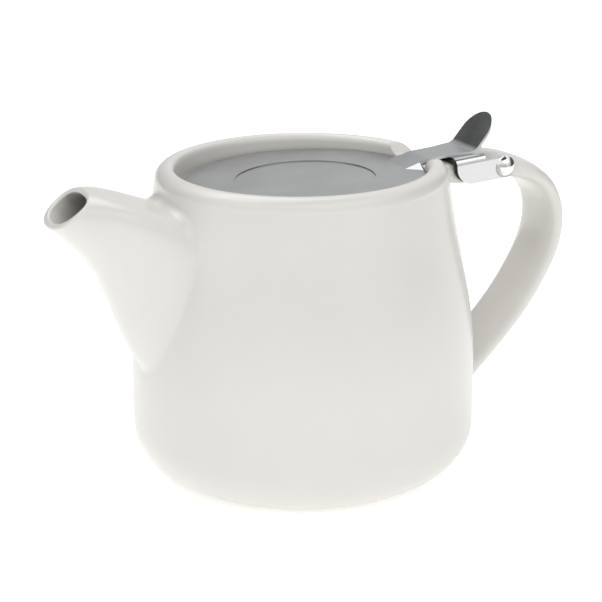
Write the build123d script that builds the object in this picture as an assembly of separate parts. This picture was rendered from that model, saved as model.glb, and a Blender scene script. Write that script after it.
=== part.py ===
from build123d import *
import os
from math import copysign, cos, pi, radians, sin, sqrt, tan

# Ceramic tea-for-one pot with a hinged steel lid and a lift-out infuser basket.
# Millimetres. The origin is on the pot's axis, on the surface it stands on.
# +Z is up, +X points to the handle and -X to the spout.

# Pot body
POT_HEIGHT = 98.3        # foot to the top of the rim
BELLY_R = 54.1           # widest radius, low on the pot
BELLY_TOP_Z = 36.0       # the wall is upright up to here, then tapers in
TAPER = 8.5              # the rim's radius is this much smaller than the belly's
FOOT_ROUND = 16.4        # radius between the wall and the base
LIP_ROUND = 4.3          # outer rounding of the lip
LIP_INNER_ROUND = 2.2    # rounding from the crest down into the lid well
WALL = 4.4               # fired wall
FLOOR = 5.0              # fired floor
FOOT_RING = 5.7          # width of the ring it stands on
FOOT_RECESS = 1.4        # depth of the hollow inside that ring
RECESS_BEVEL = 0.8
# How far the tapering wall has come in, at three shares of the way up to the lip
TAPER_SHAPE = {0.0: 0.0, 0.4: 0.27, 0.75: 0.73, 1.0: 1.0}

# Lid well and the ledge that carries the infuser
LEDGE_DROP = 7.65        # ledge below the rim
LEDGE_WIDTH = 4.5
LEDGE_THICK = 3.0
NOTCH_DEPTH = 3.6        # of the gap in the rim that the lid's strap crosses
NOTCH_SIDE = 3.5         # between the strap and the foot of the notch's shoulder
NOTCH_SHOULDER = 5.2     # width of the shoulder that rolls over onto the rim
NOTCH_OVERRUN = 2.0      # the notch's cut runs this far past the rim
ABOVE_RIM = 2.0          # height of the open-topped cuts above the rim

# Spout
SPOUT_WALL = 2.8
MOUTH_LIP = 1.9          # thickness of the lip round the mouth
MOUTH_LIP_ROUND = 0.7
MOUTH_OVERRUN = 0.6      # the channel's cut runs this far out of the mouth
SPOUT_FILLET = 3.0
KEEL_SQUARENESS = 2.4
# Sections from the root to the mouth: the keel and the crown, each as distance out from
# the belly's radius and drop below the rim, then the half widths at the crown and at the
# keel, and how square the crown's corners are.
SPOUT_SECTIONS = [
    ((-3.1, 64.3), (-16.1, 11.5), 21.8, 12.0, 4.0),
    ((3.9, 51.8), (-6.3, 7.9), 21.6, 12.5, 4.0),
    ((10.4, 35.3), (1.7, 5.0), 20.6, 11.5, 4.0),
    ((17.2, 22.3), (8.4, 2.5), 18.4, 10.5, 3.6),
    ((23.9, 14.9), (12.9, 1.1), 14.6, 9.6, 3.0),
    ((28.9, 10.1), (16.5, 0.3), 10.6, 9.8, 2.3),
]

# Handle
ARM_HALF_W = 8.3         # half width of the flat arm inside the hinge
ARM_HALF_T = 3.3         # half thickness of the arm
GRIP_HALF_W = 10.8       # half width of the grip
GRIP_HALF_T = 3.5
ARM_LENGTH = 30.0        # of the handle's middle line, up to where the grip starts to widen
ARM_BLEND = 8.0          # length over which it widens
ARM_SQUARENESS = 5.0     # exponents of the section's rounded outline
GRIP_SQUARENESS = 2.4
HANDLE_STATIONS = 20
HANDLE_FILLET = 1.5      # where the arm leaves the rim
HANDLE_LOW_FILLET = 2.5  # where the grip runs into the belly
# Middle line of the arm: distance out from the rim's radius, drop below the rim
ARM_LINE = [
    (-5.6, 6.7), (0.4, 7.05), (6.4, 7.8), (14.4, 7.4), (20.9, 6.7), (25.9, 7.6),
    (31.7, 9.93), (37.4, 14.06), (40.8, 19.86),
]
# Middle line of the grip: distance out from the belly's radius, share of the pot's height
GRIP_LINE = [
    (33.4, 0.732), (32.5, 0.661), (28.6, 0.570), (24.1, 0.496), (18.4, 0.421), (11.5, 0.346), (4.3, 0.275), (-3.6, 0.198),
]

# Lid
SHEET = 0.8              # steel sheet of the lid and the bracket
LID_GAP = 1.7            # radial gap between the lid and the well's wall
LID_SEAT = 0.3           # gap between the lid's low edge and the infuser's flange
LID_TILT = 1.3           # degrees: the disc rises towards the handle
LID_SHIFT = 1.3          # the disc sits this much nearer the handle than the pot's axis
DISH_R = 22.0            # pressed circle in the middle
DISH_DEPTH = 0.3
STRAP_HALF_W = 6.1
STRAP_FLARE_ROUND = 6.0  # where the strap widens into the lever
STRAP_ROOT = 8.0         # the strap laps this far over the disc, inside its ramp
RAMP_OVER = 1.9          # the strap has stepped up this far past the well's wall, over the notch
RAMP_ANGLE = 16.0        # degrees above level
RAMP_BEND_R = 5.0
WEB_WIDTH = 4.5          # sheet each side of the strap that twists up from the disc to the ramp
LEVER_BACK = 9.5         # from the pin back to where the strap turns up into the lever
LEVER_BEND_R = 4.0
LEVER_ANGLE = 49.7       # degrees above level
LEVER_LENGTH = 13.2      # from the turn to the tip
LEVER_WIDER = 1.5        # the lever's half width beyond the strap's
LEVER_FLARE = 8.3        # length over which the strap widens to the lever

# Hinge
PIN_OUT = 21.2           # pin beyond the rim's radius
PIN_DROP = 6.3           # pin below the rim
PIN_R = 1.3
RUNNING = 0.05           # radial clearance of the pin in its bushes
HINGE_TILT = 4.0         # degrees: the bracket and the strap above it rise to the pin
ARM_CLEAR = 0.8          # gap over the arm, under the liner
CHEEK_CLEAR = 0.9        # gap each side of the arm
BRACKET_BEND_R = 2.5
BRACKET_LENGTH = 17.3    # pin to the bracket's front edge
BRACKET_REAR = 6.8       # pin to the rear edge of the bracket's top
CHEEK_HALF_H = 3.4       # half height of the cheek's arm at the pin
CHEEK_ROUND = 5.5        # front lower corner of the cheek
LINER_T = 0.5
LINER_PROUD = 0.6        # the liner shows this much in front of the bracket
LINER_TUCK = 0.3         # and stops this much short of the bracket's other edges
BUSH_WALL = 0.5
BUSH_LENGTH = 6.8
BUSH_FLANGE = 1.05       # width of the bush's flange
BUSH_FLANGE_T = 0.35
SPOT_FACE = 0.1          # clearance round the flange where it seats on the arm
HEAD_R = 3.55            # domed ends of the pin
HEAD_H = 2.3

# Infuser basket
FLANGE_GAP = 1.5         # radial gap between the flange and the well's wall
FLANGE_T = 0.8
BASKET_GAP = 2.0         # radial gap between the basket and the ledge
COLLAR_T = 0.7
COLLAR_H = 7.0
BASKET_T = 0.4
BASKET_DEPTH = 57.0      # ledge to the bottom of the basket
BASE_RING_H = 4.0
BASE_RING_LIP = 3.0

# Sizes that follow from the ones above
RIM_R = BELLY_R - TAPER
WELL_R = RIM_R - LIP_ROUND - LIP_INNER_ROUND
LEDGE_R = WELL_R - LEDGE_WIDTH
LEDGE_Z = POT_HEIGHT - LEDGE_DROP
LIP_Z = POT_HEIGHT - LIP_ROUND
FLANGE_R = WELL_R - FLANGE_GAP
BASKET_R = LEDGE_R - BASKET_GAP
LID_R = WELL_R - LID_GAP
LID_Z = LEDGE_Z + FLANGE_T + LID_SEAT + LID_R * sin(radians(LID_TILT))
PIN_X = RIM_R + PIN_OUT
PIN_Z = POT_HEIGHT - PIN_DROP
BUSH_R = PIN_R + RUNNING + BUSH_WALL
BUSH_FLANGE_R = BUSH_R + BUSH_FLANGE
LINER_TOP = ARM_HALF_T + ARM_CLEAR + LINER_T
SADDLE_TOP = LINER_TOP + SHEET
LINER_HALF_W = ARM_HALF_W + CHEEK_CLEAR + LINER_T
BRACKET_HALF_W = LINER_HALF_W + SHEET
PIN_HALF_LENGTH = BRACKET_HALF_W + HEAD_H / 2
LEVER_HALF_W = STRAP_HALF_W + LEVER_WIDER
LID_FRAME = Pos(LID_SHIFT, 0, LID_Z) * Rot(0, -LID_TILT, 0)
HINGE_FRAME = Pos(PIN_X, 0, PIN_Z) * Rot(0, -HINGE_TILT, 0)


def turned(points):
    """Solid of revolution about Z from (r, z) corners."""
    with BuildPart() as part:
        with BuildSketch(Plane.YZ):
            with BuildLine():
                Polyline(*points, close=True)
            make_face()
        revolve(axis=Axis.Z)
    return part.part


def across(radius, half_length, x, z):
    """Cylinder along Y through (x, z)."""
    return Plane(origin=(x, 0, z), z_dir=(0, 1, 0)) * Cylinder(radius, 2 * half_length)


def taper_points(inset):
    """Points (r, z) of the wall from the belly up to the lip, inset from the outside."""
    return [
        (BELLY_R - TAPER * come_in - inset, BELLY_TOP_Z + (LIP_Z - BELLY_TOP_Z) * share)
        for share, come_in in TAPER_SHAPE.items()
    ]


def pot_outside():
    crest_r = RIM_R - LIP_ROUND
    foot_r = BELLY_R - FOOT_ROUND
    with BuildPart() as part:
        with BuildSketch(Plane.YZ):
            with BuildLine():
                Line((0, 0), (foot_r, 0))
                RadiusArc((foot_r, 0), (BELLY_R, FOOT_ROUND), -FOOT_ROUND)
                Line((BELLY_R, FOOT_ROUND), (BELLY_R, BELLY_TOP_Z))
                Spline(*taper_points(0), tangents=((0, 1), (-0.16, 1)))
                RadiusArc((RIM_R, LIP_Z), (crest_r, POT_HEIGHT), -LIP_ROUND)
                Line((crest_r, POT_HEIGHT), (0, POT_HEIGHT))
                Line((0, POT_HEIGHT), (0, 0))
            make_face()
        revolve(axis=Axis.Z)
    return part.part


def cavity():
    """Inside of the pot: the wall's inside, then a slope in to the underside of the ledge."""
    inner_round = FOOT_ROUND - WALL
    belly = BELLY_R - WALL
    ledge_low = LEDGE_Z - LEDGE_THICK
    wall_line = taper_points(WALL)[:3]
    with BuildPart() as part:
        with BuildSketch(Plane.YZ):
            with BuildLine():
                Line((0, FLOOR), (belly - inner_round, FLOOR))
                RadiusArc((belly - inner_round, FLOOR), (belly, FLOOR + inner_round), -inner_round)
                Line((belly, FLOOR + inner_round), (belly, BELLY_TOP_Z))
                Spline(*wall_line, tangents=((0, 1), (-0.2, 1)))
                Polyline(wall_line[-1], (LEDGE_R, ledge_low), (LEDGE_R, LEDGE_Z), (0, LEDGE_Z), (0, FLOOR))
            make_face()
        revolve(axis=Axis.Z)
    return part.part


def lid_well():
    """Hollow above the ledge, with the rounded inner side of the lip."""
    crest_r = WELL_R + LIP_INNER_ROUND
    round_z = POT_HEIGHT - LIP_INNER_ROUND
    over = POT_HEIGHT + ABOVE_RIM
    with BuildPart() as part:
        with BuildSketch(Plane.YZ):
            with BuildLine():
                Polyline((0, LEDGE_Z), (WELL_R, LEDGE_Z), (WELL_R, round_z))
                RadiusArc((WELL_R, round_z), (crest_r, POT_HEIGHT), LIP_INNER_ROUND)
                Polyline((crest_r, POT_HEIGHT), (crest_r, over), (0, over), (0, LEDGE_Z))
            make_face()
        revolve(axis=Axis.Z)
    return part.part


def rim_notch():
    """Gap in the rim that the lid's strap lies in, with shoulders that roll over."""
    floor_z = POT_HEIGHT - NOTCH_DEPTH
    floor_half = STRAP_HALF_W + NOTCH_SIDE
    top_half = floor_half + NOTCH_SHOULDER
    over = POT_HEIGHT + ABOVE_RIM
    with BuildPart() as part:
        with BuildSketch(Plane.YZ.offset(LEDGE_R)):
            with BuildLine():
                Line((-floor_half, floor_z), (floor_half, floor_z))
                Spline((floor_half, floor_z), (top_half, POT_HEIGHT), tangents=((1, 0.35), (1, 0.02)))
                Polyline((top_half, POT_HEIGHT), (top_half, over), (-top_half, over), (-top_half, POT_HEIGHT))
                Spline((-top_half, POT_HEIGHT), (-floor_half, floor_z), tangents=((1, -0.02), (1, -0.35)))
            make_face()
        extrude(amount=RIM_R + NOTCH_OVERRUN - LEDGE_R)
    return part.part


def foot_recess():
    """Hollow under the base, which leaves a ring to stand on."""
    recess_r = BELLY_R - FOOT_ROUND - FOOT_RING
    return turned([(0, -FOOT_RECESS), (recess_r, -FOOT_RECESS), (recess_r, FOOT_RECESS - RECESS_BEVEL),
                   (recess_r - RECESS_BEVEL, FOOT_RECESS), (0, FOOT_RECESS)])


def super_ring(plane, half_u, half_v_high, half_v_low, n_high, n_low, count=20):
    """Closed smooth outline: u runs along the plane's x, v across it.

    The half width goes from half_v_low at the -u end to half_v_high at the +u end, and a
    larger n makes squarer corners.
    """
    points = []
    for i in range(count):
        angle = 2 * pi * i / count + pi / 2
        n = n_high if sin(angle) > 0 else n_low
        u = copysign(abs(sin(angle)) ** (2 / n), sin(angle))
        v = copysign(abs(cos(angle)) ** (2 / n), cos(angle))
        half_v = half_v_low + (half_v_high - half_v_low) * (u + 1) / 2
        points.append(plane.from_local_coords((u * half_u, v * half_v)))
    return Face(Wire([Edge.make_spline(points, periodic=True)]))


def spout_loft(wall, lip, overrun):
    """The spout's outside, or its channel when a wall and a thinner lip are left round it."""
    faces = []
    last = len(SPOUT_SECTIONS) - 1
    for i, (keel, crown, v_high, v_low, n_high) in enumerate(SPOUT_SECTIONS):
        low = Vector(-BELLY_R - keel[0], 0, POT_HEIGHT - keel[1])
        high = Vector(-BELLY_R - crown[0], 0, POT_HEIGHT - crown[1])
        left = lip if i == last else wall
        along = (high - low).normalized()
        normal = along.cross(Vector(0, 1, 0))
        middle = (low + high) * 0.5
        if i == last:
            middle += normal * overrun
        plane = Plane(origin=middle, x_dir=along, z_dir=normal)
        half_u = (high - low).length / 2 - left
        faces.append(super_ring(plane, half_u, v_high - left, v_low - left, n_high, KEEL_SQUARENESS))
    return Solid.make_loft([face.outer_wire() for face in faces])


def handle_band():
    """Strap handle: a squarish arm through the hinge that widens into a flat oval grip."""
    line = [Vector(RIM_R + out, 0, POT_HEIGHT - drop) for out, drop in ARM_LINE]
    line += [Vector(BELLY_R + out, 0, POT_HEIGHT * share) for out, share in GRIP_LINE]
    path = Edge.make_spline(line, tangents=[Vector(1, 0, -0.07), Vector(-0.73, 0, -0.68)])
    faces = []
    for i in range(HANDLE_STATIONS):
        share = i / (HANDLE_STATIONS - 1)
        tangent = path.tangent_at(share)
        plane = Plane(origin=path.position_at(share), x_dir=tangent.cross(Vector(0, 1, 0)), z_dir=tangent)
        grip = min(max((share * path.length - ARM_LENGTH) / ARM_BLEND, 0), 1)
        half_w = ARM_HALF_W + (GRIP_HALF_W - ARM_HALF_W) * grip
        half_t = ARM_HALF_T + (GRIP_HALF_T - ARM_HALF_T) * grip
        corner = ARM_SQUARENESS + (GRIP_SQUARENESS - ARM_SQUARENESS) * grip
        faces.append(super_ring(plane, half_t, half_w, half_w, corner, corner))
    return Solid.make_loft([face.outer_wire() for face in faces])


def fresh_edges(shape, *before):
    """Edges that a union made, which none of its operands had."""
    old = [(edge.center(CenterOf.BOUNDING_BOX), edge.length) for part in before for edge in part.edges()]
    return [
        edge for edge in shape.edges()
        if not any((edge.center(CenterOf.BOUNDING_BOX) - centre).length < 0.01
                   and abs(edge.length - length) < 0.01 for centre, length in old)
    ]


def matching(body, wanted):
    """The body's own copies of edges picked before it changed elsewhere."""
    centres = [edge.center(CenterOf.BOUNDING_BOX) for edge in wanted]
    return [
        edge for edge in body.edges()
        if any((edge.center(CenterOf.BOUNDING_BOX) - centre).length < 0.01 for centre in centres)
    ]


def clay_form():
    """Pot, spout and handle joined, with their roots rounded."""
    outside = pot_outside()
    spout = spout_loft(0, 0, 0)
    handle = handle_band()
    body = outside + spout + handle
    roots = [e for e in fresh_edges(body, outside, spout, handle) if e.bounding_box().size.Y > 0.3]
    spout_root = [e for e in roots if e.center().X < 0 and e.bounding_box().size.Z > 1]
    arm_root = [e for e in roots if e.center().X > 0 and e.center().Z > POT_HEIGHT / 2]
    grip_root = [e for e in roots if e.center().X > 0 and e.center().Z < POT_HEIGHT / 2]
    body = body.fillet(SPOUT_FILLET, spout_root)
    body = body.fillet(HANDLE_LOW_FILLET, matching(body, grip_root))
    return body.fillet(HANDLE_FILLET, matching(body, arm_root))


def teapot_body():
    """Body, spout and handle: one fired ceramic piece."""
    body = clay_form() - cavity() - lid_well() - rim_notch() - foot_recess()
    body = body - spout_loft(SPOUT_WALL, MOUTH_LIP, MOUTH_OVERRUN)
    mouth = body.faces().filter_by(GeomType.PLANE).sort_by(Axis.X)[0]
    body = body.fillet(min(MOUTH_LIP_ROUND, 0.37 * MOUTH_LIP), mouth.edges())
    body = body - across(BUSH_R, BRACKET_HALF_W, PIN_X, PIN_Z)
    for side in (-1, 1):
        spot_face = across(BUSH_FLANGE_R + SPOT_FACE, CHEEK_CLEAR, PIN_X, PIN_Z)
        body = body - Pos(0, side * (ARM_HALF_W + CHEEK_CLEAR), 0) * spot_face
    return body


def lid_disc():
    """Flat disc with its pressed circle, cut away where the strap and its webs leave it."""
    foot, edge, web = web_corners(1)
    with BuildPart() as disc:
        Cylinder(LID_R, SHEET, align=(Align.CENTER, Align.CENTER, Align.MIN))
        with Locations((0, 0, -DISH_DEPTH)):
            Cylinder(DISH_R + SHEET / 2, DISH_DEPTH, align=(Align.CENTER, Align.CENTER, Align.MIN))
        with Locations((0, 0, SHEET - DISH_DEPTH)):
            Cylinder(DISH_R, 2 * DISH_DEPTH, align=(Align.CENTER, Align.CENTER, Align.MIN), mode=Mode.SUBTRACT)
        with BuildSketch():
            with BuildLine():
                Polyline((foot.X, foot.Y), (web.X, web.Y), (LID_R + SHEET, web.Y), (LID_R + SHEET, -web.Y),
                         (web.X, -web.Y), (foot.X, -foot.Y), close=True)
            make_face()
        extrude(amount=2 * SHEET, mode=Mode.SUBTRACT)
    return disc.part


def web_corners(side):
    """Corners, in the disc's own frame, of the web on one side of the strap.

    They are the ramp's foot, where the ramp crosses the disc's edge, and a point on that edge.
    """
    _, foot, top, _, _ = strap_line()
    steep = (top[1] - foot[1]) / (top[0] - foot[0]) - tan(radians(LID_TILT))
    foot_u = foot[0] - LID_SHIFT
    edge_u = sqrt(LID_R ** 2 - STRAP_HALF_W ** 2)
    web_half = STRAP_HALF_W + WEB_WIDTH
    web_u = sqrt(LID_R ** 2 - web_half ** 2)
    return [
        Vector(foot_u, side * STRAP_HALF_W, SHEET),
        Vector(edge_u, side * STRAP_HALF_W, SHEET + steep * (edge_u - foot_u)),
        Vector(web_u, side * web_half, SHEET),
    ]


def lid_plate():
    """Disc, strap and thumb lever, pressed from one sheet."""
    webs = [
        extrude(Face(Wire.make_polygon(web_corners(side), close=True)), SHEET, dir=(0, 0, -1))
        for side in (-1, 1)
    ]
    plate = LID_FRAME * lid_disc() + strap()
    for web in webs:
        plate = plate + LID_FRAME * web
    return plate


def strap_line():
    """Corners (x, z) of the strap's middle line: on the disc, ramp's foot and top, turn, lever's tip."""
    rise = tan(radians(LID_TILT))
    slope = tan(radians(HINGE_TILT))
    disc_mid = LID_Z + SHEET / 2
    strap_mid = PIN_Z + (SADDLE_TOP + SHEET / 2) / cos(radians(HINGE_TILT))
    lever = radians(LEVER_ANGLE)
    ramp = tan(radians(RAMP_ANGLE))
    top_x = WELL_R + RAMP_OVER
    top_z = strap_mid + (top_x - PIN_X) * slope
    foot_x = (top_x * ramp - top_z + disc_mid - LID_SHIFT * rise) / (ramp - rise)
    start_x = foot_x - STRAP_ROOT
    turn_x = PIN_X - LEVER_BACK
    turn_z = strap_mid + (turn_x - PIN_X) * slope
    return [
        (start_x, disc_mid + (start_x - LID_SHIFT) * rise),
        (foot_x, disc_mid + (foot_x - LID_SHIFT) * rise),
        (top_x, top_z),
        (turn_x, turn_z),
        (turn_x + LEVER_LENGTH * cos(lever), turn_z + LEVER_LENGTH * sin(lever)),
    ]


def strap():
    """The strap from the disc to the lever's tip: its bends seen from the side, cut to width."""
    corners = strap_line()
    start_x, turn_x, tip_x = corners[0][0], corners[3][0], corners[4][0]
    lever = radians(LEVER_ANGLE)
    past_tip = (tip_x + SHEET * cos(lever), corners[4][1] + SHEET * sin(lever))
    with BuildSketch(Plane.XZ) as side:
        with BuildLine():
            FilletPolyline(*corners[:4], past_tip, radius=[RAMP_BEND_R, RAMP_BEND_R, LEVER_BEND_R])
        trace(line_width=SHEET)
    bent = extrude(side.sketch, 2 * LEVER_HALF_W, both=True)
    return bent & extrude(strap_plan(start_x, turn_x, tip_x, LEVER_HALF_W * cos(lever)), 2 * POT_HEIGHT)


def strap_plan(start_x, turn_x, tip_x, tip_r):
    """The strap from above: parallel, then widening to the lever with its round tip."""
    flare_x = turn_x - LEVER_FLARE
    round_x = tip_x - tip_r
    with BuildSketch() as plan:
        with BuildLine():
            Polyline((start_x, -STRAP_HALF_W), (flare_x, -STRAP_HALF_W), (turn_x, -LEVER_HALF_W),
                     (round_x, -LEVER_HALF_W))
            EllipticalCenterArc((round_x, 0), tip_r, LEVER_HALF_W, start_angle=-90, arc_size=180)
            Polyline((round_x, LEVER_HALF_W), (turn_x, LEVER_HALF_W), (flare_x, STRAP_HALF_W),
                     (start_x, STRAP_HALF_W), (start_x, -STRAP_HALF_W))
        make_face()
        flare_corners = [v for v in vertices() if flare_x - 1 < v.X < turn_x + 1]
        fillet(flare_corners, STRAP_FLARE_ROUND)
    return plan.sketch


def saddle(half_w, thick, bend_r, top, outline):
    """Bent sheet like an upturned U about the pin, trimmed to its outline from the side."""
    bottom = -2 * CHEEK_HALF_H
    with BuildSketch(Plane.YZ) as section:
        with Locations((0, (top + bottom) / 2)):
            Rectangle(2 * half_w, top - bottom)
        fillet(vertices().group_by(Axis.Y)[-1], bend_r)
        with BuildSketch(mode=Mode.SUBTRACT):
            with Locations((0, (top + bottom) / 2 - thick)):
                Rectangle(2 * (half_w - thick), top - bottom)
            fillet(vertices().group_by(Axis.Y)[-1], bend_r - thick)
    return extrude(section.sketch, 2 * BRACKET_LENGTH, both=True) & extrude(outline, half_w + 1, both=True)


def cheek_outline(front, rear, top, half_h):
    """Side view of the hinge bracket about the pin: a tall front that narrows to a round eye."""
    with BuildSketch(Plane.XZ) as sketch:
        with BuildLine():
            Polyline((-front, -half_h), (-front, top), (-rear, top), (-rear, half_h), (0, half_h),
                     (0, -half_h), close=True)
        make_face()
        fillet(vertices().group_by(Axis.X)[0].sort_by(Axis.Y)[0], CHEEK_ROUND)
        Circle(half_h)
    return sketch.sketch


def hinge_bracket():
    """Saddle welded under the strap, with a cheek each side of the handle's arm."""
    outline = cheek_outline(BRACKET_LENGTH, BRACKET_REAR, SADDLE_TOP, CHEEK_HALF_H)
    bent = saddle(BRACKET_HALF_W, SHEET, BRACKET_BEND_R, SADDLE_TOP, outline)
    return HINGE_FRAME * (bent - across(PIN_R, BRACKET_HALF_W + 1, 0, 0))


def hinge_liner():
    """Thin plastic saddle between the bracket and the ceramic."""
    outline = cheek_outline(BRACKET_LENGTH + LINER_PROUD, BRACKET_REAR + LINER_TUCK, LINER_TOP,
                            CHEEK_HALF_H - LINER_TUCK)
    bent = saddle(LINER_HALF_W, LINER_T, BRACKET_BEND_R - SHEET, LINER_TOP, outline)
    return HINGE_FRAME * (bent - across(BUSH_FLANGE_R + SPOT_FACE, BRACKET_HALF_W, 0, 0))


def hinge_pin():
    return across(PIN_R, PIN_HALF_LENGTH, PIN_X, PIN_Z)


def pin_heads():
    """Polished domed nuts pressed on the two ends of the pin."""
    ball_r = (HEAD_R ** 2 + HEAD_H ** 2) / (2 * HEAD_H)
    ball = Sphere(ball_r)
    heads = []
    for side in (-1, 1):
        face_y = side * BRACKET_HALF_W
        dome = Pos(PIN_X, face_y - side * (ball_r - HEAD_H), PIN_Z) * ball
        keep = Pos(PIN_X, face_y + side * HEAD_H, PIN_Z) * Box(4 * HEAD_R, 2 * HEAD_H, 4 * HEAD_R)
        heads.append((dome & keep) - across(PIN_R, PIN_HALF_LENGTH, PIN_X, PIN_Z))
    return Compound(children=heads)


def hinge_bushes():
    """Flanged plastic bushes pushed into the two ends of the handle's cross hole."""
    bushes = []
    for side in (-1, 1):
        tube = across(BUSH_R, BUSH_LENGTH / 2, PIN_X, PIN_Z)
        flange = across(BUSH_FLANGE_R, BUSH_FLANGE_T / 2, PIN_X, PIN_Z)
        bush = Pos(0, side * (ARM_HALF_W - BUSH_LENGTH / 2), 0) * tube
        bush += Pos(0, side * (ARM_HALF_W + BUSH_FLANGE_T / 2), 0) * flange
        bushes.append(bush - across(PIN_R + RUNNING, BRACKET_HALF_W, PIN_X, PIN_Z))
    return Compound(children=bushes)


def infuser_collar():
    """Turned ring with a flat flange that sits on the ledge, and a neck for the basket wall."""
    neck_out = BASKET_R + COLLAR_T
    top = LEDGE_Z + FLANGE_T
    low = LEDGE_Z - COLLAR_H
    return turned([(BASKET_R, low), (neck_out, low), (neck_out, LEDGE_Z), (FLANGE_R, LEDGE_Z),
                   (FLANGE_R, top), (BASKET_R - BASKET_T, top), (BASKET_R - BASKET_T, LEDGE_Z),
                   (BASKET_R, LEDGE_Z)])


def infuser_wall():
    low = LEDGE_Z - BASKET_DEPTH + BASKET_T
    return turned([(BASKET_R - BASKET_T, low), (BASKET_R, low), (BASKET_R, LEDGE_Z),
                   (BASKET_R - BASKET_T, LEDGE_Z)])


def infuser_base_ring():
    """Cup ring round the foot of the basket, turned in under the floor disc."""
    low = LEDGE_Z - BASKET_DEPTH
    outer = BASKET_R + BASKET_T
    return turned([(BASKET_R - BASE_RING_LIP, low), (outer, low), (outer, low + BASE_RING_H),
                   (BASKET_R, low + BASE_RING_H), (BASKET_R, low + BASKET_T),
                   (BASKET_R - BASE_RING_LIP, low + BASKET_T)])


def infuser_floor():
    low = LEDGE_Z - BASKET_DEPTH + BASKET_T
    return turned([(0, low), (BASKET_R - BASKET_T, low), (BASKET_R - BASKET_T, low + BASKET_T),
                   (0, low + BASKET_T)])


PARTS = {
    "teapot_body": teapot_body,
    "infuser_collar": infuser_collar,
    "infuser_wall": infuser_wall,
    "infuser_base_ring": infuser_base_ring,
    "infuser_floor": infuser_floor,
    "lid_plate": lid_plate,
    "hinge_bracket": hinge_bracket,
    "hinge_liner": hinge_liner,
    "hinge_pin": hinge_pin,
    "pin_heads": pin_heads,
    "hinge_bushes": hinge_bushes,
}

os.makedirs("parts", exist_ok=True)
for name, make in PARTS.items():
    export_step(make(), f"parts/{name}.step")
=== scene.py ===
"""Ceramic teapot with a hinged steel lid and a lift-out infuser, dressed for a studio picture."""
from math import cos, hypot, pi, radians, sin

import bmesh
import bpy
from mathutils import Matrix, Vector


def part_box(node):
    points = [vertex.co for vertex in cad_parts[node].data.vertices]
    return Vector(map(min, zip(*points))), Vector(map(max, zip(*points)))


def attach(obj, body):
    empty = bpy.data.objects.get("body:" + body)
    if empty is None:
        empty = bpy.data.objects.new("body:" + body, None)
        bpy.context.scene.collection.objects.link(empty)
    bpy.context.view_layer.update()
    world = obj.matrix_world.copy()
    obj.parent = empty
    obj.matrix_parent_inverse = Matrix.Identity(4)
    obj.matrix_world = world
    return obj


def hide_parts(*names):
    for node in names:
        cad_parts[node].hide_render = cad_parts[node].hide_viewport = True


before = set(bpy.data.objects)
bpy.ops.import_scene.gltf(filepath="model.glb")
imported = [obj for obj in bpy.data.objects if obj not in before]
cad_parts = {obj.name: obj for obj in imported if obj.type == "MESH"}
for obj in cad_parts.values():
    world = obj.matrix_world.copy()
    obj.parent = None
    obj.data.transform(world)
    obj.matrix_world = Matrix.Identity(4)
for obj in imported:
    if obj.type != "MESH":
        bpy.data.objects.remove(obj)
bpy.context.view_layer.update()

MM = 0.001

# Infuser sheet and its holes, in millimetres
BASKET_SHEET = 0.4
HOLE_PITCH = 2.4         # such baskets have holes under 1 mm; these are drawn coarser, so that they show
HOLE_R = 0.72
COLLAR_COVER = 7.4       # plain band behind the collar
RING_COVER = 4.4         # plain band behind the base ring
FLOOR_BORDER = 2.0       # plain border of the floor disc

# Weld mark on the strap: where the bracket is joined underneath
WELD_ALONG = 8.7         # from the pin towards the pot
WELD_ACROSS = 1.3
WELD_LENGTH = 2.6
WELD_WIDTH = 0.9
WELD_DEPTH = 0.12
WELD_TUCK = 0.02         # its edge sinks this far into the strap
STRAP_OVER_PIN = 6.4     # strap's top face above the pin, square to the strap
STRAP_TILT = 4.0         # degrees

# Camera: metres and degrees, looking at a point on the pot's axis
CAMERA_DISTANCE = 0.65
CAMERA_AIM_Z = 0.05
CAMERA_AZIMUTH = -25     # towards the spout from straight across the pot
CAMERA_ELEVATION = 17.89
CAMERA_ROLL = 0.39
CAMERA_LENS = 122.98     # millimetres, on a 36 mm sensor
CAMERA_SHIFT = (-0.0023, 0.0179)

# Surround: how bright each direction is to light and reflections
LOW_LEVEL = 0.52         # in front, level with the pot
HIGH_LEVEL = 1.0         # well above the pot
BACK_LEVEL = 0.8         # low behind the handle; low behind the spout it falls to nothing
RIGHT_FLAG = 0.15        # share of the light that a dark flag beyond the handle leaves
ROOF_FLAG = 0.1          # share that a dark flag straight overhead leaves


# ---------------------------------------------------------------- helpers

def linear(code):
    """sRGB hex, such as "E9E7E2", as a linear RGBA tuple."""
    shares = [int(code[i:i + 2], 16) / 255 for i in (0, 2, 4)]
    return tuple(s / 12.92 if s <= 0.04045 else ((s + 0.055) / 1.055) ** 2.4 for s in shares) + (1.0,)


def per(millimetres):
    """Texture scale for a pattern whose features are this many millimetres across."""
    return 1 / (millimetres * MM)


def add(tree, kind, links=None, inputs=None, **settings):
    """One shader node with its settings, its socket values and its incoming links."""
    node = tree.nodes.new(kind)
    for name, value in settings.items():
        setattr(node, name, value)
    for socket, value in (inputs or {}).items():
        node.inputs[socket].default_value = value
    for socket, source in (links or {}).items():
        tree.links.new(source, node.inputs[socket])
    return node


def start_finish(name, inputs):
    """A new material with one Principled shader; returns the material, its tree and the shader."""
    material = bpy.data.materials.new(name)
    material.use_nodes = True
    tree = material.node_tree
    tree.nodes.clear()
    shader = add(tree, "ShaderNodeBsdfPrincipled", inputs=inputs)
    add(tree, "ShaderNodeOutputMaterial", links={"Surface": shader.outputs["BSDF"]})
    return material, tree, shader


def new_piece(name, vertices, faces, material):
    mesh = bpy.data.meshes.new(name)
    mesh.from_pydata(vertices, [], faces)
    mesh.validate()
    mesh.materials.append(material)
    piece = bpy.data.objects.new(name, mesh)
    bpy.context.scene.collection.objects.link(piece)
    return piece


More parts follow.
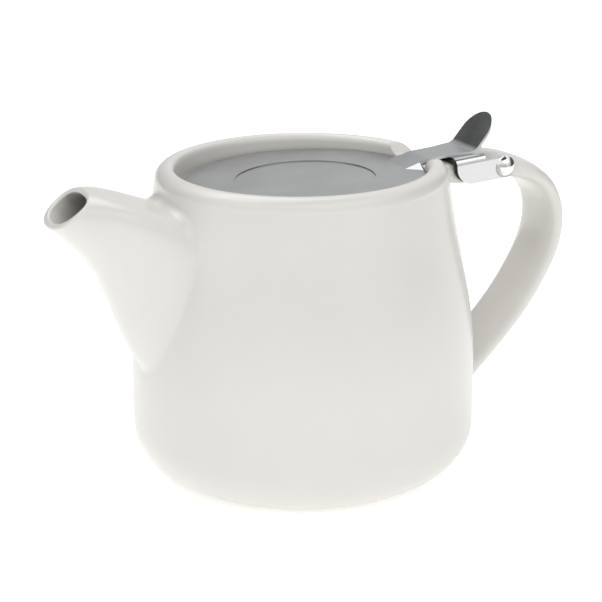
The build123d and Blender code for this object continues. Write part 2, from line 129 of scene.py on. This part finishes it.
def dress(node, material):
    """Gives a CAD node its finish."""
    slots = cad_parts[node].data.materials
    slots.clear()
    slots.append(material)


# ---------------------------------------------------------------- finishes

def glazed_stoneware():
    """Stoneware, slip cast and dipped in a warm white glaze.

    The eye sees a soft gloss with a very slight ripple, hardly any change of tone, and bare,
    matt clay on the ring it stands on.
    """
    material, tree, shader = start_finish("glazed_stoneware", {
        "Specular IOR Level": 0.5, "IOR": 1.52, "Coat Weight": 0.25, "Coat Roughness": 0.12,
    })
    place = add(tree, "ShaderNodeTexCoord").outputs["Object"]
    cloud = add(tree, "ShaderNodeTexNoise", links={"Vector": place},
                inputs={"Scale": per(22), "Detail": 2.0}).outputs["Fac"]
    glaze = add(tree, "ShaderNodeMix", data_type="RGBA", links={0: cloud},
                inputs={6: linear("DEDCD7"), 7: linear("E2E0DB")}).outputs[2]
    height = add(tree, "ShaderNodeSeparateXYZ", links={"Vector": place}).outputs["Z"]
    edge = add(tree, "ShaderNodeTexNoise", links={"Vector": place},
               inputs={"Scale": per(6), "Detail": 1.0}).outputs["Fac"]
    wavy = add(tree, "ShaderNodeMath", operation="MULTIPLY_ADD", links={0: edge, 2: height},
               inputs={1: -0.5 * MM}).outputs["Value"]
    glazed = add(tree, "ShaderNodeMapRange", links={"Value": wavy},
                 inputs={"From Min": 0.05 * MM, "From Max": 0.3 * MM}).outputs["Result"]
    grog = add(tree, "ShaderNodeTexNoise", links={"Vector": place},
               inputs={"Scale": per(0.6), "Detail": 3.0}).outputs["Fac"]
    bare = add(tree, "ShaderNodeMix", data_type="RGBA", links={0: grog},
               inputs={6: linear("CFC4B2"), 7: linear("DDD4C4")}).outputs[2]
    colour = add(tree, "ShaderNodeMix", data_type="RGBA", links={0: glazed, 6: bare, 7: glaze}).outputs[2]
    gloss = add(tree, "ShaderNodeMapRange", links={"Value": glazed},
                inputs={"To Min": 0.85, "To Max": 0.30}).outputs["Result"]
    ripple = add(tree, "ShaderNodeTexNoise", links={"Vector": place},
                 inputs={"Scale": per(7), "Detail": 1.0}).outputs["Fac"]
    soft = add(tree, "ShaderNodeBump", links={"Height": ripple},
               inputs={"Strength": 0.35, "Distance": 0.05 * MM}).outputs["Normal"]
    for socket, source in (("Base Color", colour), ("Roughness", gloss), ("Normal", soft)):
        tree.links.new(source, shader.inputs[socket])
    return material


def brushed_lid_steel():
    """Stainless sheet brushed along the strap before it was pressed.

    The eye sees a satin grey with fine lengthwise streaks and a faint cloudiness.
    """
    material, tree, shader = start_finish("brushed_lid_steel", {"Metallic": 1.0})
    place = add(tree, "ShaderNodeTexCoord").outputs["Object"]
    drawn = add(tree, "ShaderNodeMapping", links={"Vector": place},
                inputs={"Scale": (per(26), per(0.35), per(0.35))}).outputs["Vector"]
    streaks = add(tree, "ShaderNodeTexNoise", links={"Vector": drawn},
                  inputs={"Scale": 1.0, "Detail": 3.0, "Roughness": 0.6}).outputs["Fac"]
    cloud = add(tree, "ShaderNodeTexNoise", links={"Vector": place},
                inputs={"Scale": per(16), "Detail": 2.0}).outputs["Fac"]
    both = add(tree, "ShaderNodeMath", operation="ADD", links={0: streaks, 1: cloud}).outputs["Value"]
    tone = add(tree, "ShaderNodeMapRange", links={"Value": both},
               inputs={"From Min": 0.7, "From Max": 1.3}).outputs["Result"]
    colour = add(tree, "ShaderNodeMix", data_type="RGBA", links={0: tone},
                 inputs={6: linear("ADAFB0"), 7: linear("BBBDBE")}).outputs[2]
    rough = add(tree, "ShaderNodeMapRange", links={"Value": both},
                inputs={"From Min": 0.7, "From Max": 1.3, "To Min": 0.28, "To Max": 0.36}).outputs["Result"]
    scratch = add(tree, "ShaderNodeBump", links={"Height": streaks},
                  inputs={"Strength": 0.25, "Distance": 0.012 * MM}).outputs["Normal"]
    for socket, source in (("Base Color", colour), ("Roughness", rough), ("Normal", scratch)):
        tree.links.new(source, shader.inputs[socket])
    return material


def bright_bracket_steel():
    """Stainless sheet left bright from the roll and bent: sharp bands of light round its bends."""
    material, tree, shader = start_finish("bright_bracket_steel", {"Metallic": 1.0})
    place = add(tree, "ShaderNodeTexCoord").outputs["Object"]
    drawn = add(tree, "ShaderNodeMapping", links={"Vector": place},
                inputs={"Scale": (per(14), per(0.4), per(0.4))}).outputs["Vector"]
    streaks = add(tree, "ShaderNodeTexNoise", links={"Vector": drawn},
                  inputs={"Scale": 1.0, "Detail": 2.0}).outputs["Fac"]
    colour = add(tree, "ShaderNodeMix", data_type="RGBA", links={0: streaks},
                 inputs={6: linear("CFCFD0"), 7: linear("D9D9DA")}).outputs[2]
    rough = add(tree, "ShaderNodeMapRange", links={"Value": streaks},
                inputs={"To Min": 0.14, "To Max": 0.2}).outputs["Result"]
    scratch = add(tree, "ShaderNodeBump", links={"Height": streaks},
                  inputs={"Strength": 0.15, "Distance": 0.01 * MM}).outputs["Normal"]
    for socket, source in (("Base Color", colour), ("Roughness", rough), ("Normal", scratch)):
        tree.links.new(source, shader.inputs[socket])
    return material


def mirror_polished_steel():
    """Turned and buffed pin heads: a near mirror with only a trace of buffing haze."""
    material, tree, shader = start_finish("mirror_polished_steel", {"Metallic": 1.0})
    place = add(tree, "ShaderNodeTexCoord").outputs["Object"]
    haze = add(tree, "ShaderNodeTexNoise", links={"Vector": place},
               inputs={"Scale": per(1.5), "Detail": 2.0}).outputs["Fac"]
    colour = add(tree, "ShaderNodeMix", data_type="RGBA", links={0: haze},
                 inputs={6: linear("E6E6E6"), 7: linear("EFEFEF")}).outputs[2]
    rough = add(tree, "ShaderNodeMapRange", links={"Value": haze},
                inputs={"To Min": 0.03, "To Max": 0.07}).outputs["Result"]
    for socket, source in (("Base Color", colour), ("Roughness", rough)):
        tree.links.new(source, shader.inputs[socket])
    return material


def black_liner_and_painted_shade():
    """Black polypropylene liner, moulded thin: matt, almost no reflection. Its near-black colour also stands
    in for the shade in the gap between the bracket and the handle arm, so it is partly painted shade.
    """
    material, tree, shader = start_finish("black_liner_and_painted_shade", {"IOR": 1.49})
    place = add(tree, "ShaderNodeTexCoord").outputs["Object"]
    grain = add(tree, "ShaderNodeTexNoise", links={"Vector": place},
                inputs={"Scale": per(0.5), "Detail": 2.0}).outputs["Fac"]
    colour = add(tree, "ShaderNodeMix", data_type="RGBA", links={0: grain},
                 # near-black liner colour, partly painted shade for the gap between bracket and handle arm
                 inputs={6: linear("141414"), 7: linear("222222")}).outputs[2]
    rough = add(tree, "ShaderNodeMapRange", links={"Value": grain},
                inputs={"To Min": 0.5, "To Max": 0.65}).outputs["Result"]
    for socket, source in (("Base Color", colour), ("Roughness", rough)):
        tree.links.new(source, shader.inputs[socket])
    return material


def natural_nylon():
    """Unpigmented nylon bushes: milky off-white, waxy sheen."""
    material, tree, shader = start_finish("natural_nylon", {"IOR": 1.53})
    place = add(tree, "ShaderNodeTexCoord").outputs["Object"]
    cloud = add(tree, "ShaderNodeTexNoise", links={"Vector": place},
                inputs={"Scale": per(2), "Detail": 1.0}).outputs["Fac"]
    colour = add(tree, "ShaderNodeMix", data_type="RGBA", links={0: cloud},
                 inputs={6: linear("D6D2C6"), 7: linear("E0DCD1")}).outputs[2]
    rough = add(tree, "ShaderNodeMapRange", links={"Value": cloud},
                inputs={"To Min": 0.4, "To Max": 0.5}).outputs["Result"]
    for socket, source in (("Base Color", colour), ("Roughness", rough)):
        tree.links.new(source, shader.inputs[socket])
    return material


def spun_infuser_steel():
    """Thin stainless, spun and etched: satin, with turning marks that run round the basket."""
    material, tree, shader = start_finish("spun_infuser_steel", {"Metallic": 1.0})
    place = add(tree, "ShaderNodeTexCoord").outputs["Object"]
    parts = add(tree, "ShaderNodeSeparateXYZ", links={"Vector": place}).outputs
    flat = add(tree, "ShaderNodeCombineXYZ", links={"X": parts["X"], "Y": parts["Y"]}).outputs["Vector"]
    radius = add(tree, "ShaderNodeVectorMath", operation="LENGTH", links={0: flat}).outputs["Value"]
    turning = add(tree, "ShaderNodeCombineXYZ", links={"X": radius, "Z": parts["Z"]}).outputs["Vector"]
    marks = add(tree, "ShaderNodeTexNoise", links={"Vector": turning},
                inputs={"Scale": per(0.5), "Detail": 2.0}).outputs["Fac"]
    colour = add(tree, "ShaderNodeMix", data_type="RGBA", links={0: marks},
                 inputs={6: linear("BDBDBC"), 7: linear("CBCBCA")}).outputs[2]
    rough = add(tree, "ShaderNodeMapRange", links={"Value": marks},
                inputs={"To Min": 0.22, "To Max": 0.34}).outputs["Result"]
    groove = add(tree, "ShaderNodeBump", links={"Height": marks},
                 inputs={"Strength": 0.2, "Distance": 0.015 * MM}).outputs["Normal"]
    for socket, source in (("Base Color", colour), ("Roughness", rough), ("Normal", groove)):
        tree.links.new(source, shader.inputs[socket])
    return material


def weld_scale():
    """Spot weld left on the strap: dark oxide, a little rough."""
    material, tree, shader = start_finish("weld_scale", {"Metallic": 0.8})
    place = add(tree, "ShaderNodeTexCoord").outputs["Object"]
    scale = add(tree, "ShaderNodeTexNoise", links={"Vector": place},
                inputs={"Scale": per(0.4), "Detail": 3.0}).outputs["Fac"]
    colour = add(tree, "ShaderNodeMix", data_type="RGBA", links={0: scale},
                 inputs={6: linear("4A4A4B"), 7: linear("6C6B6A")}).outputs[2]
    tree.links.new(colour, shader.inputs["Base Color"])
    shader.inputs["Roughness"].default_value = 0.5
    return material


def pale_floor():
    """Matt white acrylic, lit a little from below."""
    material, tree, shader = start_finish("pale_floor", {
        "Roughness": 0.9, "Specular IOR Level": 0.1, "Emission Color": (1, 1, 1, 1), "Emission Strength": 0.4,
    })
    place = add(tree, "ShaderNodeTexCoord").outputs["Object"]
    cloud = add(tree, "ShaderNodeTexNoise", links={"Vector": place},
                inputs={"Scale": per(400), "Detail": 1.0}).outputs["Fac"]
    colour = add(tree, "ShaderNodeMix", data_type="RGBA", links={0: cloud},
                 inputs={6: linear("F7F7F6"), 7: linear("F9F9F8")}).outputs[2]
    tree.links.new(colour, shader.inputs["Base Color"])
    return material


# ---------------------------------------------------------------- infuser mesh

def ring_of_holes(vertices, faces, outline, centre, to_surface, hole_r):
    """Joins a cell's outline to the round hole in it. outline holds (index, place in the flat)."""
    first = len(vertices)
    for _, (u, v) in outline:
        du, dv = u - centre[0], v - centre[1]
        reach = hole_r / hypot(du, dv)
        vertices.append(to_surface(centre[0] + du * reach, centre[1] + dv * reach))
    count = len(outline)
    for i in range(count):
        j = (i + 1) % count
        faces.append((outline[i][0], outline[j][0], first + j, first + i))


def infuser_wall_piece(material):
    """Cylinder of staggered holes with plain bands at its top and foot."""
    low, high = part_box("infuser_wall")
    radius = high.x
    around = round(2 * pi * radius / (HOLE_PITCH * MM))
    width = 2 * pi * radius / around
    bottom = low.z + RING_COVER * MM
    top = high.z - COLLAR_COVER * MM
    rows = round((top - bottom) / width)
    height = (top - bottom) / rows

    def to_surface(u, v):
        return (radius * cos(u / radius), radius * sin(u / radius), v)

    vertices, faces = [], []
    halves = 2 * around
    levels = [low.z] + [bottom + height * k for k in range(rows + 1)] + [high.z]
    for z in levels:
        vertices += [to_surface(i * width / 2, z) for i in range(halves)]
    for band in (0, rows + 1):
        for i in range(halves):
            j = (i + 1) % halves
            faces.append((band * halves + i, band * halves + j,
                          (band + 1) * halves + j, (band + 1) * halves + i))
    for row in range(rows):
        below = (row + 1) * halves
        above = below + halves
        middle_z = levels[row + 1] + height / 2
        sides = len(vertices)
        vertices += [to_surface((i + (row % 2) / 2) * width, middle_z) for i in range(around)]
        for i in range(around):
            start = 2 * i + row % 2
            u = [(start + k) * width / 2 for k in range(3)]
            low_ids = [below + (start + k) % halves for k in range(3)]
            high_ids = [above + (start + k) % halves for k in range(3)]
            z0, z1 = levels[row + 1], levels[row + 2]
            outline = [(low_ids[0], (u[0], z0)), (low_ids[1], (u[1], z0)), (low_ids[2], (u[2], z0)),
                       (sides + (i + 1) % around, (u[2], middle_z)),
                       (high_ids[2], (u[2], z1)), (high_ids[1], (u[1], z1)), (high_ids[0], (u[0], z1)),
                       (sides + i, (u[0], middle_z))]
            ring_of_holes(vertices, faces, outline, (u[1], middle_z), to_surface, HOLE_R * MM)
    return thicken(new_piece("infuser_mesh_wall", vertices, faces, material))


def infuser_floor_piece(material):
    """Flat disc of staggered holes with a plain border."""
    _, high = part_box("infuser_floor")
    disc_r = high.x
    pitch = HOLE_PITCH * MM
    holed_r = disc_r - FLOOR_BORDER * MM
    reach = int(holed_r / pitch) + 1

    def to_surface(u, v):
        return (u, v, high.z)

    vertices, faces, known = [], [], {}

    def corner(u, v):
        key = (round(u / pitch * 4), round(v / pitch * 4))
        if key not in known:
            known[key] = len(vertices)
            vertices.append(to_surface(u, v))
        return known[key]

    for row in range(-reach, reach + 1):
        for column in range(-reach, reach + 1):
            cu = (column + (row % 2) / 2) * pitch
            cv = row * pitch
            half = pitch / 2
            ring = [(-1, -1), (0, -1), (1, -1), (1, 0), (1, 1), (0, 1), (-1, 1), (-1, 0)]
            points = [(cu + a * half, cv + b * half) for a, b in ring]
            if max(hypot(u, v) for u, v in points) > holed_r:
                continue
            outline = [(corner(u, v), (u, v)) for u, v in points]
            ring_of_holes(vertices, faces, outline, (cu, cv), to_surface, HOLE_R * MM)
    grid_points = set(known.values())
    piece = new_piece("infuser_mesh_floor", vertices, faces, material)
    close_to_circle(piece, grid_points, disc_r, high.z)
    return thicken(piece)


def close_to_circle(piece, grid_points, disc_r, z):
    """Fills between the outermost cells and the disc's round edge."""
    steps = 144
    shape = bmesh.new()
    shape.from_mesh(piece.data)
    shape.verts.ensure_lookup_table()
    stairs = [edge for edge in shape.edges
              if edge.is_boundary and all(v.index in grid_points for v in edge.verts)]
    round_edge = [shape.verts.new((disc_r * cos(2 * pi * i / steps), disc_r * sin(2 * pi * i / steps), z))
                  for i in range(steps)]
    rim = [shape.edges.new((round_edge[i], round_edge[(i + 1) % steps])) for i in range(steps)]
    bmesh.ops.triangle_fill(shape, use_beauty=True, use_dissolve=False, edges=stairs + rim, normal=(0, 0, 1))
    bmesh.ops.recalc_face_normals(shape, faces=shape.faces)
    shape.to_mesh(piece.data)
    shape.free()


def thicken(piece):
    """Gives a perforated sheet its thickness, on the inner or lower side."""
    sheet = piece.modifiers.new("sheet", "SOLIDIFY")
    sheet.thickness = BASKET_SHEET * MM
    sheet.offset = -1
    return piece


def weld_mark(material):
    """Shallow oval spot weld on top of the strap."""
    rings, steps = 4, 20
    pin_low, pin_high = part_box("hinge_pin")
    pin = (pin_low + pin_high) / 2
    tilt = Matrix.Rotation(-radians(STRAP_TILT), 4, "Y")
    middle = Vector((-WELD_ALONG, WELD_ACROSS, STRAP_OVER_PIN)) * MM
    vertices, faces = [(0, 0, WELD_DEPTH * MM)], []
    for ring in range(1, rings + 1):
        share = ring / rings
        rise = WELD_DEPTH * cos(share * pi / 2) - WELD_TUCK * share
        for i in range(steps):
            angle = 2 * pi * i / steps
            along = WELD_LENGTH / 2 * share * cos(angle)
            aside = WELD_WIDTH / 2 * share * sin(angle)
            vertices.append((along * MM, aside * MM, rise * MM))
    for i in range(steps):
        j = (i + 1) % steps
        faces.append((0, 1 + i, 1 + j))
        for ring in range(rings - 1):
            a = 1 + ring * steps
            faces.append((a + i, a + steps + i, a + steps + j, a + j))
    faces.append(tuple(1 + (rings - 1) * steps + i for i in reversed(range(steps))))
    placed = [pin + tilt @ (middle + Vector(v)) for v in vertices]
    piece = new_piece("strap_weld_mark", placed, faces, material)
    for face in piece.data.polygons:
        face.use_smooth = True
    return piece


# ---------------------------------------------------------------- studio

def floor_piece(material):
    """Round floor, wide enough to run out of every view."""
    radius, steps = 6.0, 96
    rim = [(radius * cos(2 * pi * i / steps), radius * sin(2 * pi * i / steps), 0) for i in range(steps)]
    return new_piece("studio_floor", rim, [tuple(range(steps))], material)


def soft_box(name, azimuth, distance, height, width, tall, watts, aim_z):
    """Rectangular light at an azimuth about the pot (0 is +X), facing a point on its axis."""
    light = bpy.data.lights.new(name, "AREA")
    light.shape = "RECTANGLE"
    light.size = width
    light.size_y = tall
    light.energy = watts
    lamp = bpy.data.objects.new(name, light)
    place = Vector((distance * cos(radians(azimuth)), distance * sin(radians(azimuth)), height))
    lamp.location = place
    lamp.rotation_mode = "QUATERNION"
    lamp.rotation_quaternion = (Vector((0, 0, aim_z)) - place).to_track_quat("-Z", "Y")
    bpy.context.scene.collection.objects.link(lamp)


def studio_surround():
    """White backdrop for the eye, and an uneven tent for light and reflections.

    The tent is even in front and brighter higher up. Low behind the pot it fades to black on the
    spout's side, which darkens the thumb lever, and the two flags put dark patches in the pin heads.
    """
    world = bpy.data.worlds.new("studio_surround")
    bpy.context.scene.world = world
    world.use_nodes = True
    tree = world.node_tree
    tree.nodes.clear()
    direction = add(tree, "ShaderNodeTexCoord").outputs["Generated"]
    parts = add(tree, "ShaderNodeSeparateXYZ", links={"Vector": direction}).outputs
    side = add(tree, "ShaderNodeMapRange", links={"Value": parts["X"]}, interpolation_type="SMOOTHSTEP",
               inputs={"From Min": -0.15, "From Max": 0.6, "To Min": 0.0, "To Max": BACK_LEVEL},
               ).outputs["Result"]
    front = add(tree, "ShaderNodeMapRange", links={"Value": parts["Y"]}, interpolation_type="SMOOTHSTEP",
                inputs={"From Min": 0.35, "From Max": 0.0}).outputs["Result"]
    top = add(tree, "ShaderNodeMapRange", links={"Value": parts["Z"]}, interpolation_type="SMOOTHSTEP",
              inputs={"From Min": 0.45, "From Max": 0.7}).outputs["Result"]
    clear = add(tree, "ShaderNodeMath", operation="MAXIMUM", links={0: front, 1: top}).outputs["Value"]
    overhead = add(tree, "ShaderNodeMapRange", links={"Value": parts["Z"]}, interpolation_type="SMOOTHSTEP",
                   inputs={"From Min": 0.1, "From Max": 0.8, "To Min": LOW_LEVEL, "To Max": HIGH_LEVEL},
                   ).outputs["Result"]
    level = add(tree, "ShaderNodeMix", data_type="FLOAT", links={0: clear, 2: side, 3: overhead}).outputs[0]
    right_flag = add(tree, "ShaderNodeMapRange", links={"Value": parts["X"]}, interpolation_type="SMOOTHSTEP",
                     inputs={"From Min": 0.7, "From Max": 0.85, "To Min": 1.0, "To Max": RIGHT_FLAG},
                     ).outputs["Result"]
    roof_flag = add(tree, "ShaderNodeMapRange", links={"Value": parts["Z"]}, interpolation_type="SMOOTHSTEP",
                    inputs={"From Min": 0.85, "From Max": 0.93, "To Min": 1.0, "To Max": ROOF_FLAG},
                    ).outputs["Result"]
    flags = add(tree, "ShaderNodeMath", operation="MULTIPLY",
                links={0: right_flag, 1: roof_flag}).outputs["Value"]
    flagged = add(tree, "ShaderNodeMath", operation="MULTIPLY", links={0: level, 1: flags}).outputs["Value"]
    room = add(tree, "ShaderNodeBackground", links={"Strength": flagged}, inputs={"Color": (1, 1, 1, 1)})
    white = add(tree, "ShaderNodeBackground", inputs={"Color": (1, 1, 1, 1), "Strength": 1.0})
    seen = add(tree, "ShaderNodeLightPath").outputs["Is Camera Ray"]
    both = add(tree, "ShaderNodeMixShader", links={0: seen, 1: room.outputs[0], 2: white.outputs[0]})
    add(tree, "ShaderNodeOutputWorld", links={"Surface": both.outputs[0]})


def camera():
    """Long lens from a little above the rim, off the spout's side of the pot."""
    azimuth = radians(CAMERA_AZIMUTH)
    elevation = radians(CAMERA_ELEVATION)
    roll = radians(CAMERA_ROLL)
    back = Vector((sin(azimuth) * cos(elevation), -cos(azimuth) * cos(elevation), sin(elevation)))
    level = Vector((cos(azimuth), sin(azimuth), 0))
    up = back.cross(level)
    right = level * cos(roll) - up * sin(roll)
    data = bpy.data.cameras.new("studio_camera")
    data.sensor_width = 36
    data.lens = CAMERA_LENS
    data.shift_x, data.shift_y = CAMERA_SHIFT
    data.dof.use_dof = False
    lens = bpy.data.objects.new("studio_camera", data)
    turn = Matrix((right, back.cross(right), back)).transposed()
    place = Vector((0, 0, CAMERA_AIM_Z)) + back * CAMERA_DISTANCE
    lens.matrix_world = Matrix.Translation(place) @ turn.to_4x4()
    bpy.context.scene.collection.objects.link(lens)
    bpy.context.scene.camera = lens


# ---------------------------------------------------------------- putting it together

camera()
studio_surround()
soft_box("left_box", azimuth=-173, distance=1.3, height=0.45, width=0.8, tall=1.3, watts=0.7, aim_z=0.06)
soft_box("right_box", azimuth=-68, distance=1.3, height=0.5, width=0.7, tall=1.2, watts=0.5, aim_z=0.06)
soft_box("front_box", azimuth=-75, distance=0.9, height=1.3, width=1.3, tall=0.8, watts=2.5, aim_z=0.05)
soft_box("back_box", azimuth=110, distance=0.5, height=1.25, width=1.2, tall=0.8, watts=6.0, aim_z=0.05)
bpy.context.scene.view_settings.view_transform = "Standard"

floor = floor_piece(pale_floor())

stoneware = glazed_stoneware()
lid_steel = brushed_lid_steel()
bracket_steel = bright_bracket_steel()
infuser_steel = spun_infuser_steel()
dress("teapot_body", stoneware)
dress("hinge_bushes", natural_nylon())
dress("lid_plate", lid_steel)
dress("hinge_bracket", bracket_steel)
dress("hinge_pin", bracket_steel)
# black liner part; its black is also painted shade for the gap under the bracket
dress("hinge_liner", black_liner_and_painted_shade())
dress("pin_heads", mirror_polished_steel())
dress("infuser_collar", infuser_steel)
dress("infuser_base_ring", infuser_steel)
dress("infuser_wall", infuser_steel)
dress("infuser_floor", infuser_steel)

mesh_wall = infuser_wall_piece(infuser_steel)
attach(mesh_wall, "infuser")
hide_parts("infuser_wall")

mesh_floor = infuser_floor_piece(infuser_steel)
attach(mesh_floor, "infuser")
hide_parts("infuser_floor")

weld = weld_mark(weld_scale())
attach(weld, "lid")
